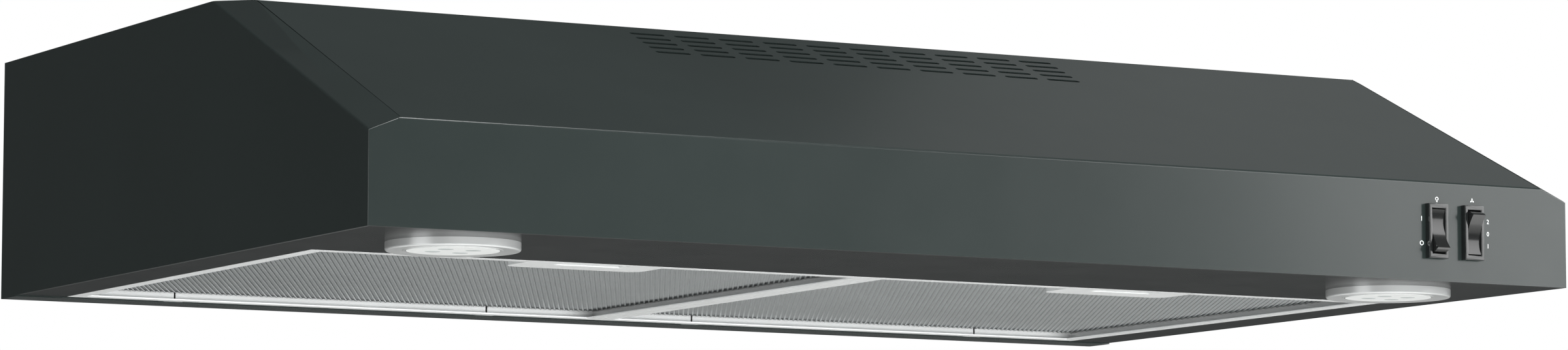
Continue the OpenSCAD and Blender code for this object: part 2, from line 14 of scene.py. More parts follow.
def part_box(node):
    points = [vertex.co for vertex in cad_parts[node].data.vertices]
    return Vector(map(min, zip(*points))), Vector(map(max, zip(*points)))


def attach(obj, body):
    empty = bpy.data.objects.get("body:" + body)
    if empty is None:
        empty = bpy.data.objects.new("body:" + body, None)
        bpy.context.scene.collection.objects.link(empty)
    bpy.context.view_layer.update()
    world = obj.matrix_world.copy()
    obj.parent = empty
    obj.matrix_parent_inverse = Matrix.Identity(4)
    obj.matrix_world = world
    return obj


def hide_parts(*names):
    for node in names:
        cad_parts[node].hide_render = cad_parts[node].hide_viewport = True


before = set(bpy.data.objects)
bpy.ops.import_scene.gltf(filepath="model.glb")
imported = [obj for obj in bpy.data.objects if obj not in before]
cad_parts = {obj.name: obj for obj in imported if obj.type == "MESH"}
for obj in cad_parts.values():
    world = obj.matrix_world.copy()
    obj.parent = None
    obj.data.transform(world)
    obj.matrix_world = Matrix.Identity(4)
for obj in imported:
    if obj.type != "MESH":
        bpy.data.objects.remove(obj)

LOG = logging.getLogger("range_hood")
MM = 0.001
BUMP_DEPTH = 0.02 * MM  # What a bump height of 1 stands for.
MERGE_REACH = 0.002 * MM  # Points nearer than this are one point.
TOUCH = 0.01 * MM  # How near a point is to lie in a plane.
NEAR = 0.1 * MM  # How near an edge is to belong to a fold or a face.
FLAT_ANGLE = math.radians(0.4)  # Faces that turn less than this are one face.
SHARP_ANGLE = math.radians(8)  # Edges that turn less than this are never rounded.
ACROSS = 0.99  # The least share of its length that an edge across the hood runs across.
AWAY = 0.97  # The most that any other edge does.
SLOPE_RUN, SLOPE_RISE = 0.5, 0.2  # The least shares that an edge along the slope runs back and up.
SMOOTH_ANGLE = 32.0  # Edges that turn more than this, in degrees, stay sharp in the shading.
NodeInputs = dict[str | int, object]
Colour = tuple[float, float, float, float]
EdgeTest = Callable[[Vector, Vector], bool]


class Side(Enum):
    """The two mirrored halves of the hood."""

    LEFT = "left"
    RIGHT = "right"


class Bend(Enum):
    """How sharply a sheet edge is finished, as a radius in metres."""

    FOLD = 1.3 * MM
    CUT = 0.25 * MM
    MOULDED = 0.45 * MM


# ---- Nodes and colours ----


def linear(colour: str) -> Colour:
    """Turns an sRGB hex colour into linear RGBA.

    Args:
        colour: The colour as "#RRGGBB".

    Returns:
        Linear red, green, blue and an alpha of 1.
    """
    channels = [int(colour[i : i + 2], 16) / 255 for i in (1, 3, 5)]
    lin = [c / 12.92 if c <= 0.04045 else ((c + 0.055) / 1.055) ** 2.4 for c in channels]
    return lin[0], lin[1], lin[2], 1.0


def add_node(
    tree: bpy.types.NodeTree, kind: str, inputs: NodeInputs | None = None, **settings: object
) -> bpy.types.Node:
    """Adds a node, with its properties, input values and links.

    Args:
        tree: The tree that gets the node.
        kind: The node's type name.
        inputs: Values or output sockets, by the input's name or number.
        settings: Properties of the node itself.

    Returns:
        The new node.
    """
    node = tree.nodes.new(kind)
    for key, value in settings.items():
        setattr(node, key, value)
    for key, value in (inputs or {}).items():
        if isinstance(value, bpy.types.NodeSocket):
            tree.links.new(value, node.inputs[key])
        else:
            node.inputs[key].default_value = value
    return node


# ---- Finishes ----


@dataclass(frozen=True)
class Finish:
    """A surface finish: a principled surface with a pattern in its colour, gloss and relief."""

    name: str
    colour: str
    roughness: float

    def pattern(self, tree: bpy.types.NodeTree) -> NodeInputs:
        """Gives the surface inputs that vary over the piece."""
        return {}

    def constants(self) -> NodeInputs:
        """Gives the surface inputs that are the same all over."""
        return {}

    def shaded(self, share: float) -> Colour:
        """Gives the finish's colour at a share of its brightness."""
        red, green, blue, alpha = linear(self.colour)
        return red * share, green * share, blue * share, alpha

    def surface(
        self, tree: bpy.types.NodeTree, tone: bpy.types.NodeSocket, colours: tuple[Colour, Colour],
        gloss: bpy.types.NodeSocket, spread: float, height: bpy.types.NodeSocket, depth: float,
    ) -> NodeInputs:
        """Turns three patterns into the surface's colour, gloss and relief.

        Args:
            tree: The material's tree.
            tone: The pattern that runs between the two colours.
            colours: The colours at the pattern's low and high end.
            gloss: The pattern in the roughness.
            spread: How far the roughness goes up and down.
            height: The pattern in the relief.
            depth: The relief's strength.

        Returns:
            Colour, roughness and normal.
        """
        mixed = add_node(tree, "ShaderNodeMix", {0: tone, 6: colours[0], 7: colours[1]}, data_type="RGBA")
        rough = add_node(tree, "ShaderNodeMapRange", {
            "Value": gloss, "To Min": self.roughness - spread, "To Max": self.roughness + spread,
        })
        bump = add_node(tree, "ShaderNodeBump", {"Strength": depth, "Distance": BUMP_DEPTH, "Height": height})
        return {"Base Color": mixed.outputs[2], "Roughness": rough.outputs[0], "Normal": bump.outputs[0]}

    def material(self) -> bpy.types.Material:
        """Builds the finish, or finds it if it is there already.

        Returns:
            The material.
        """
        found = bpy.data.materials.get(self.name)
        if found:
            return found
        material = bpy.data.materials.new(self.name)
        material.use_nodes = True
        tree = material.node_tree
        tree.nodes.clear()
        inputs: NodeInputs = {"Base Color": linear(self.colour), "Roughness": self.roughness}
        inputs.update(self.constants())
        inputs.update(self.pattern(tree))
        surface = add_node(tree, "ShaderNodeBsdfPrincipled", inputs)
        add_node(tree, "ShaderNodeOutputMaterial", {"Surface": surface.outputs[0]})
        return material


@dataclass(frozen=True)
class PowderCoat(Finish):
    """Black polyester powder coat, baked on steel sheet: smooth gloss with a faint orange peel."""

    worn: str = "#3A3F3E"
    drift: float = 180 * MM
    film: float = 30 * MM
    spread: float = 0.03
    peel: float = 2.2 * MM
    relief: float = 0.05
    coat: float = 0.35
    coat_roughness: float = 0.12
    ior: float = 1.5

    def constants(self) -> NodeInputs:
        """Gives the clear film over the pigment."""
        return {"IOR": self.ior, "Coat Weight": self.coat, "Coat Roughness": self.coat_roughness}

    def pattern(self, tree: bpy.types.NodeTree) -> NodeInputs:
        """Makes broad tone drift, uneven gloss and the peel's relief.

        Args:
            tree: The material's tree.

        Returns:
            Colour, roughness and normal.
        """
        place = add_node(tree, "ShaderNodeTexCoord").outputs["Object"]
        drift = add_node(tree, "ShaderNodeTexNoise", {
            "Vector": place, "Scale": 1 / self.drift, "Detail": 2.0,
        })
        film = add_node(tree, "ShaderNodeTexNoise", {
            "Vector": place, "Scale": 1 / self.film, "Detail": 3.0,
        })
        peel = add_node(tree, "ShaderNodeTexNoise", {
            "Vector": place, "Scale": 1 / self.peel, "Detail": 1.0,
        })
        return self.surface(
            tree, drift.outputs["Fac"], (linear(self.colour), linear(self.worn)),
            film.outputs["Fac"], self.spread, peel.outputs["Fac"], self.relief,
        )


@dataclass(frozen=True)
class RolledMetal(Finish):
    """Bare or plated metal with the fine straight grain that rolling or brushing leaves."""

    grain: tuple[float, float, float] = (60 * MM, 0.5 * MM, 0.5 * MM)
    depth: float = 0.25
    spread: float = 0.08
    cloud: float = 50 * MM
    shade: float = 0.86
    metallic: float = 1.0

    def constants(self) -> NodeInputs:
        """Gives the share of bare metal; the rest is the dull skin of a rolled or oxidised face."""
        return {"Metallic": self.metallic}

    def pattern(self, tree: bpy.types.NodeTree) -> NodeInputs:
        """Makes grain lines in the gloss and relief, with a slow change of tone.

        Args:
            tree: The material's tree.

        Returns:
            Colour, roughness and normal.
        """
        place = add_node(tree, "ShaderNodeTexCoord").outputs["Object"]
        stretch = add_node(tree, "ShaderNodeMapping", {
            "Vector": place, "Scale": tuple(1 / length for length in self.grain),
        })
        grain = add_node(tree, "ShaderNodeTexNoise", {
            "Vector": stretch.outputs[0], "Scale": 1.0, "Detail": 3.0,
        })
        cloud = add_node(tree, "ShaderNodeTexNoise", {
            "Vector": place, "Scale": 1 / self.cloud, "Detail": 2.0,
        })
        return self.surface(
            tree, cloud.outputs["Fac"], (self.shaded(self.shade), linear(self.colour)),
            grain.outputs["Fac"], self.spread, grain.outputs["Fac"], self.depth,
        )


@dataclass(frozen=True)
class ExpandedFoil(RolledMetal):
    """Layered aluminium foil, bright on its face and darker deeper in the pad with painted shade."""

    # Painted shade: the foil turns to this colour from its face inwards, over the reach.
    painted_shade: str = "#14181A"
    face: float = 0.0
    reach: float = 0.42 * MM

    def pattern(self, tree: bpy.types.NodeTree) -> NodeInputs:
        """Makes the rolled foil's pattern, and paints shade on it from the pad's face inwards.

        Args:
            tree: The material's tree.

        Returns:
            Colour, roughness and normal.
        """
        inputs = super().pattern(tree)
        place = add_node(tree, "ShaderNodeTexCoord").outputs["Object"]
        height = add_node(tree, "ShaderNodeSeparateXYZ", {0: place}).outputs[2]
        # Painted shade: the colour darkens from the pad's face up into the pad.
        depth = add_node(tree, "ShaderNodeMapRange", {
            "Value": height, "From Min": self.face, "From Max": self.face + self.reach,
        })
        tone = add_node(tree, "ShaderNodeMix", {
            0: depth.outputs[0], 6: inputs["Base Color"], 7: linear(self.painted_shade),
        }, data_type="RGBA")
        return inputs | {"Base Color": tone.outputs[2]}


@dataclass(frozen=True)
class GalvanisedSheet(Finish):
    """Hot dip galvanised steel: zinc crystals show as soft patches of grey and gloss."""

    spangle: float = 7 * MM
    glossier: float = 0.08
    duller: float = 0.1
    shade: float = 0.72

    def constants(self) -> NodeInputs:
        """Gives a plain metal."""
        return {"Metallic": 1.0}

    def pattern(self, tree: bpy.types.NodeTree) -> NodeInputs:
        """Makes one tone and gloss for each zinc crystal.

        Args:
            tree: The material's tree.

        Returns:
            Colour and roughness.
        """
        place = add_node(tree, "ShaderNodeTexCoord").outputs["Object"]
        crystal = add_node(tree, "ShaderNodeTexVoronoi", {"Vector": place, "Scale": 1 / self.spangle})
        value = add_node(tree, "ShaderNodeSeparateColor", {0: crystal.outputs["Color"]}).outputs[0]
        tone = add_node(tree, "ShaderNodeMix", {
            0: value, 6: self.shaded(self.shade), 7: linear(self.colour),
        }, data_type="RGBA")
        gloss = add_node(tree, "ShaderNodeMapRange", {
            "Value": value, "To Min": self.roughness - self.glossier, "To Max": self.roughness + self.duller,
        })
        return {"Base Color": tone.outputs[2], "Roughness": gloss.outputs[0]}


@dataclass(frozen=True)
class MouldedPlastic(Finish):
    """Injection moulded plastic with the even fine texture of a spark eroded mould."""

    texture: float = 0.35 * MM
    relief: float = 0.18
    flow: float = 20 * MM
    shade: float = 0.92
    spread: float = 0.04
    ior: float = 1.49
    glow: float = 0.0
    polish: float = 0.0
    polish_roughness: float = 0.08

    def constants(self) -> NodeInputs:
        """Gives the plastic's index and polish, and light from behind where it has any."""
        return {
            "IOR": self.ior, "Coat Weight": self.polish, "Coat Roughness": self.polish_roughness,
            "Emission Color": linear(self.colour), "Emission Strength": self.glow,
        }

    def pattern(self, tree: bpy.types.NodeTree) -> NodeInputs:
        """Makes the mould's texture and a faint flow of tone.

        Args:
            tree: The material's tree.

        Returns:
            Colour, roughness and normal.
        """
        place = add_node(tree, "ShaderNodeTexCoord").outputs["Object"]
        spark = add_node(tree, "ShaderNodeTexNoise", {
            "Vector": place, "Scale": 1 / self.texture, "Detail": 2.0,
        })
        flow = add_node(tree, "ShaderNodeTexNoise", {
            "Vector": place, "Scale": 1 / self.flow, "Detail": 1.0,
        })
        return self.surface(
            tree, flow.outputs["Fac"], (self.shaded(self.shade), linear(self.colour)),
            spark.outputs["Fac"], self.spread, spark.outputs["Fac"], self.relief,
        )


# Baked on in an oven: deep black with a soft sheen that takes on the light in front of it.
BODY_BLACK = PowderCoat("black powder coat", "#1E2423", 0.25, worn="#232A29")
# The same paint laid thin on the underside: flatter, with no clear film.
PAN_BLACK = PowderCoat(
    "black smooth powder coat", "#131515", 0.22, worn="#171919", coat=0.0, ior=1.32
)
# Bare inner sheets: a grey quilt of zinc crystals.
ZINC_SHEET = GalvanisedSheet("galvanised sheet", "#B7BBBC", 0.42)
# Rolled mill finish under a thin oxide skin: pale, satin, grain along the rail.
FRAME_ALUMINIUM = RolledMetal(
    "rolled aluminium", "#E4E6E6", 0.24, depth=0.08, spread=0.05, metallic=0.12
)
# Bright rolled strip, a little darker and duller than the frame.
LATCH_STEEL = RolledMetal("bright rolled steel", "#D8DADA", 0.36, depth=0.1, metallic=0.35)
# Drawn wire: dark bright lines along it.
SPRING_STEEL = RolledMetal("drawn spring wire", "#9A9EA0", 0.32, grain=(0.6 * MM, 6 * MM, 0.6 * MM))
# Plated and satin turned: pale, with fine rings that blur what it mirrors.
LAMP_METAL = RolledMetal(
    "satin nickel plate", "#B4B6B6", 0.3, grain=(4 * MM, 4 * MM, 0.8 * MM),
    depth=0.02, spread=0.03, metallic=0.45,
)
# Opal and smooth: white all through, faintly lit from behind.
LENS_ACRYLIC = MouldedPlastic(
    "opal acrylic", "#CFD1D0", 0.3, texture=1.2 * MM, relief=0.05, glow=0.12
)
# Printed on the boards: chalky white.
BOARD_MASK = MouldedPlastic("white solder mask", "#E4E6DC", 0.45, texture=0.8 * MM)
# Moulded in a polished mould: black with a hard gloss on its edges.
SWITCH_BLACK = MouldedPlastic("black nylon", "#1A1C1C", 0.25, relief=0.08, polish=1.0)
# The same gloss on the rockers, which shows as a bright band in their hollow.
ROCKER_BLACK = MouldedPlastic("black ABS", "#1A1B1B", 0.2, relief=0.05, polish=0.5)
# Stamped strip: warm yellow with rolling lines.
TERMINAL_BRASS = RolledMetal("brass strip", "#C9A552", 0.3)
# Pressed and left bare: dull silver with upright grain.
WHEEL_ALUMINIUM = RolledMetal("pressed aluminium", "#A9ADAF", 0.4, grain=(2 * MM, 2 * MM, 30 * MM))
# Zinc plated shell: grey, with turning lines around it.
MOTOR_STEEL = RolledMetal(
    "zinc plated motor shell", "#9DA1A2", 0.38, grain=(4 * MM, 4 * MM, 0.5 * MM)
)
# Turned on a lathe: bright, with fine rings.
BRIGHT_STEEL = RolledMetal("bright turned steel", "#C8CBCC", 0.24, grain=(3 * MM, 3 * MM, 0.3 * MM))
# Moulded can: plain milky white.
CAPACITOR_CASE = MouldedPlastic("white polypropylene", "#DEDFDA", 0.4, texture=0.6 * MM)
# Ink pressed on with a pad: flat white, slightly uneven.
PRINT_WHITE = MouldedPlastic("white pad print", "#D9DCDB", 0.5, texture=0.2 * MM)
# Where the lens is thin, the board behind shows through as light grey.
SPOT_GREY = MouldedPlastic(
    "thin diffuser over a chip", "#A9AEAE", 0.35, texture=0.8 * MM, relief=0.05
)
# Rolled on: pale, matt and even. Its texture is drawn coarser than paint to show at all.
FLOOR_PAINT = MouldedPlastic("pale matt floor paint", "#DCDCDA", 0.7, texture=8 * MM)


# ---- Mesh helpers ----


def new_piece(
    name: str, shape: bmesh.types.BMesh, finish: Finish, smooth: float = SMOOTH_ANGLE
) -> bpy.types.Object:
    """Makes a finished object of a mesh, smooth but for the edges sharper than an angle.

    Args:
        name: The piece's name.
        shape: The mesh, in the frame's own place. It is freed.
        finish: What the piece is made of.
        smooth: The angle in degrees from which an edge stays sharp.

    Returns:
        The linked object.
    """
    limit = math.radians(smooth)
    shape.normal_update()
    for face in shape.faces:
        face.smooth = True
    for edge in shape.edges:
        edge.smooth = len(edge.link_faces) == 2 and edge.calc_face_angle(math.pi) < limit
    mesh = bpy.data.meshes.new(name)
    shape.to_mesh(mesh)
    shape.free()
    mesh.materials.append(finish.material())
    piece = bpy.data.objects.new(name, mesh)
    bpy.context.scene.collection.objects.link(piece)
    return piece


def flattened(piece: bpy.types.Object) -> bpy.types.Object:
    """Turns a piece's modifiers into plain mesh.

    Args:
        piece: The object whose modifiers are applied.

    Returns:
        The same object, with no modifiers.
    """
    graph = bpy.context.evaluated_depsgraph_get()
    mesh = bpy.data.meshes.new_from_object(piece.evaluated_get(graph))
    mesh.name = piece.name
    piece.modifiers.clear()
    piece.data = mesh
    return piece


def merged_copy(node: str) -> bmesh.types.BMesh:
    """Copies a CAD node's mesh with its loose triangles joined and flat areas made whole.

    Args:
        node: The CAD node's name.

    Returns:
        The clean mesh.
    """
    shape = bmesh.new()
    shape.from_mesh(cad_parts[node].data)
    bmesh.ops.remove_doubles(shape, verts=shape.verts, dist=MERGE_REACH)
    bmesh.ops.dissolve_limit(
        shape, angle_limit=FLAT_ANGLE, verts=shape.verts, edges=shape.edges, use_dissolve_boundaries=False
    )
    return shape


def round_edges(shape: bmesh.types.BMesh, radius: float, chosen: EdgeTest, steps: int = 3) -> None:
    """Rounds the sharp edges that a test chooses.

    Args:
        shape: The mesh to change.
        radius: The radius in metres.
        chosen: Takes an edge's middle and direction, and says whether it is rounded.
        steps: The number of faces across the round.
    """
    edges = []
    for edge in shape.edges:
        if len(edge.link_faces) == 2 and edge.calc_face_angle(0.0) > SHARP_ANGLE:
            start, end = (vert.co for vert in edge.verts)
            if chosen((start + end) / 2, (end - start).normalized()):
                edges.append(edge)
    bmesh.ops.bevel(
        shape, geom=edges, offset=radius, segments=steps, profile=0.5, affect="EDGES",
        offset_type="OFFSET", clamp_overlap=False,
    )


def stand_in(
    name: str, node: str, shape: bmesh.types.BMesh, finish: Finish, body: str
) -> bpy.types.Object:
    """Puts a detailed piece in the place of a CAD node.

    Args:
        name: The piece's name.
        node: The CAD node that it stands for.
        shape: Its mesh.
        finish: What it is made of.
        body: The body that it rides.

    Returns:
        The piece.
    """
    piece = new_piece(name, shape, finish)
    weigh_normals(piece)
    return placed(piece, body, node)


def weigh_normals(piece: bpy.types.Object) -> None:
    """Lets wide faces set the shading of the narrow rounds beside them.

    Args:
        piece: The piece that is shaded.
    """
    weigh = piece.modifiers.new("weigh", "WEIGHTED_NORMAL")
    weigh.keep_sharp = True
    weigh.weight = 100
    flattened(piece)


def placed(piece: bpy.types.Object, body: str, node: str = "") -> bpy.types.Object:
    """Fixes a piece to a body and hides the CAD node that it stands for, if any.

    Args:
        piece: The piece.
        body: The body that it rides.
        node: The CAD node that it stands for, if any.

    Returns:
        The piece.
    """
    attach(piece, body)
    if node:
        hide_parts(node)
    return piece


def dress(node: str, finish: Finish) -> bpy.types.Object:
    """Gives a CAD node its finish and leaves its mesh alone.

    Args:
        node: The CAD node's name.
        finish: What it is made of.

    Returns:
        The node's object.
    """
    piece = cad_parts[node]
    piece.data.materials.clear()
    piece.data.materials.append(finish.material())
    return piece


# ---- Body sheets ----


@dataclass
class BodySheets:
    """The folded outer sheets: canopy, side panels, back panel and underside pan."""

    fold: float = Bend.FOLD.value
    fold_steps: int = 4
    corner: float = 2 * Bend.CUT.value
    corner_reach: float = 25 * MM

    def build(self) -> list[bpy.types.Object]:
        """Builds every sheet.

        Returns:
            The finished pieces.
        """
        pieces = [self.canopy(), self.pan(), dress("back_panel", BODY_BLACK)]
        pieces += [self.side_panel(side) for side in Side]
        return pieces

    def canopy(self) -> bpy.types.Object:
        """Builds top, slope and front panel with round folds and soft panel ends.

        Returns:
            The canopy.
        """
        low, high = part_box("canopy_shell")
        shape = merged_copy("canopy_shell")
        ridge_z = max(vert.co.z for vert in shape.verts if vert.co.y < low.y + TOUCH)
        top_y = min(vert.co.y for vert in shape.verts if vert.co.z > high.z - TOUCH)
        folds = [(low.y, ridge_z), (top_y, high.z)]

        def is_fold(middle: Vector, run: Vector) -> bool:
            """Tells whether an edge runs across the hood and lies on a fold."""
            return abs(run.x) > ACROSS and any(
                abs(middle.y - y) < NEAR and abs(middle.z - z) < NEAR for y, z in folds
            )

        def is_panel_end(middle: Vector, run: Vector) -> bool:
            """Tells whether an edge of the front panel's face ends it at the left or right."""
            at_end = abs(middle.x) > high.x - self.corner_reach
            return middle.y < low.y + NEAR and at_end and abs(run.x) < AWAY

        round_edges(shape, self.fold, is_fold, self.fold_steps)
        round_edges(shape, self.corner, is_panel_end)
        return stand_in("canopy", "canopy_shell", shape, BODY_BLACK, "hood")

    def side_panel(self, side: Side) -> bpy.types.Object:
        """Builds a side panel with round bends along its bevel.

        Args:
            side: Which of the two.

        Returns:
            The panel.
        """
        node = f"side_panel_{side.value}"
        low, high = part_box(node)
        outer = max(abs(low.x), abs(high.x))
        shape = merged_copy(node)

        def is_bend(middle: Vector, run: Vector) -> bool:
            """Tells whether an edge follows the slope on the panel's outer face."""
            slopes = abs(run.y) > SLOPE_RUN and abs(run.z) > SLOPE_RISE
            return slopes and abs(middle.x) > outer - NEAR

        round_edges(shape, self.fold, is_bend, self.fold_steps)
        return stand_in(f"side_{side.value}", node, shape, BODY_BLACK, "hood")

    def pan(self) -> bpy.types.Object:
        """Builds the underside pan."""
        return stand_in("pan", "bottom_pan", merged_copy("bottom_pan"), PAN_BLACK, "hood")


# ---- Filters ----


@dataclass
class MeshFilter:
    """A filter: its frame, its pad of expanded aluminium and its latch."""

    side: Side
    strand_pitch: float = 2.9 * MM
    strand_width: float = 1.0 * MM
    strand_thickness: float = 0.35 * MM
    strand_angle: float = math.radians(27.7)
    strand_twist: float = math.radians(24)
    layer_rise: float = 0.62 * MM
    layer_shift: float = 0.37
    layers: int = 6
    edge_inset: float = 1.0 * MM
    shortest: float = 3.0
    face_share: float = 0.3
    # Where the painted shade in the foil starts, in strand widths above the pad's face.
    unshaded_share: float = 0.45

    def build(self) -> list[bpy.types.Object]:
        """Builds the filter's pieces.

        Returns:
            The finished pieces.
        """
        side = self.side.value
        return [
            self.frame(),
            self.pad(),
            self.plate(),
            dress(f"latch_slider_{side}", LATCH_STEEL),
            dress(f"latch_spring_{side}", SPRING_STEEL),
        ]

    def frame(self) -> bpy.types.Object:
        """Builds the rolled frame.

        Returns:
            The frame.
        """
        side = self.side.value
        node = f"filter_frame_{side}"
        return stand_in(
            f"frame_{side}", node, merged_copy(node), FRAME_ALUMINIUM, f"filter_{side}"
        )

    def plate(self) -> bpy.types.Object:
        """Builds the latch plate.

        Returns:
            The plate.
        """
        side = self.side.value
        node = f"latch_plate_{side}"
        return stand_in(
            f"latch_cover_{side}", node, merged_copy(node), LATCH_STEEL, f"filter_{side}"
        )

    def pad(self) -> bpy.types.Object:
        """Builds the pad of crossed strands with geometry nodes.

        Returns:
            The pad.
        """
        side = self.side.value
        node = f"filter_mesh_{side}"
        low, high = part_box(node)
        # Slit and stretched foil: bright on the strands' faces, with painted shade that turns the deeper
        # layers almost black between them.
        foil = ExpandedFoil(
            "expanded aluminium foil", "#B0B4B5", 0.34, grain=(2 * MM, 2 * MM, 2 * MM), metallic=0.6,
            face=low.z + self.strand_width * self.unshaded_share,
        )
        piece = grown(f"mesh_pad_{side}", strand_tree(), {
            "Width": high.x - low.x - 2 * self.edge_inset,
            "Depth": high.y - low.y - 2 * self.edge_inset,
            "Centre X": (low.x + high.x) / 2,
            "Centre Y": (low.y + high.y) / 2,
            "Bottom": low.z + self.strand_width * self.face_share,
            "Pitch": self.strand_pitch,
            "Strand Width": self.strand_width,
            "Strand Thickness": self.strand_thickness,
            "Angle": self.strand_angle,
            "Twist": self.strand_twist,
            "Rise": self.layer_rise,
            "Shift": self.layer_shift,
            "Shortest": self.strand_width * self.shortest,
            "Layers": self.layers,
            "Material": foil.material(),
        })
        return placed(piece, f"filter_{side}", node)


def grown(name: str, tree: bpy.types.GeometryNodeTree, values: dict[str, object]) -> bpy.types.Object:
    """Makes a piece with a geometry nodes tree and turns the result into plain mesh.

    Args:
        name: The piece's name.
        tree: The tree that makes it.
        values: The tree's inputs by name.

    Returns:
        The piece, with no modifiers.
    """
    piece = bpy.data.objects.new(name, bpy.data.meshes.new(name))
    bpy.context.scene.collection.objects.link(piece)
    modifier = piece.modifiers.new("grown", "NODES")
    modifier.node_group = tree
    set_inputs(modifier, values)
    return flattened(piece)


def set_inputs(modifier: bpy.types.NodesModifier, values: dict[str, object]) -> None:
    """Sets a geometry nodes modifier's inputs by each socket's identifier.

    Args:
        modifier: The modifier with its tree.
        values: The values by the input's shown name.
    """
    for item in modifier.node_group.interface.items_tree:
        if item.item_type == "SOCKET" and item.in_out == "INPUT" and item.name in values:
            modifier[item.identifier] = values[item.name]


def new_tree(name: str, floats: Sequence[str], integers: Sequence[str] = ()) -> bpy.types.GeometryNodeTree:
    """Starts a geometry nodes tree with named inputs, a material input and a geometry output.

    Args:
        name: The tree's name.
        floats: The names of its number inputs.
        integers: The names of its whole number inputs.

    Returns:
        The tree.
    """
    tree = bpy.data.node_groups.new(name, "GeometryNodeTree")
    tree.interface.new_socket("Geometry", in_out="OUTPUT", socket_type="NodeSocketGeometry")
    for label in floats:
        tree.interface.new_socket(label, in_out="INPUT", socket_type="NodeSocketFloat")
    for label in integers:
        tree.interface.new_socket(label, in_out="INPUT", socket_type="NodeSocketInt")
    tree.interface.new_socket("Material", in_out="INPUT", socket_type="NodeSocketMaterial")
    return tree


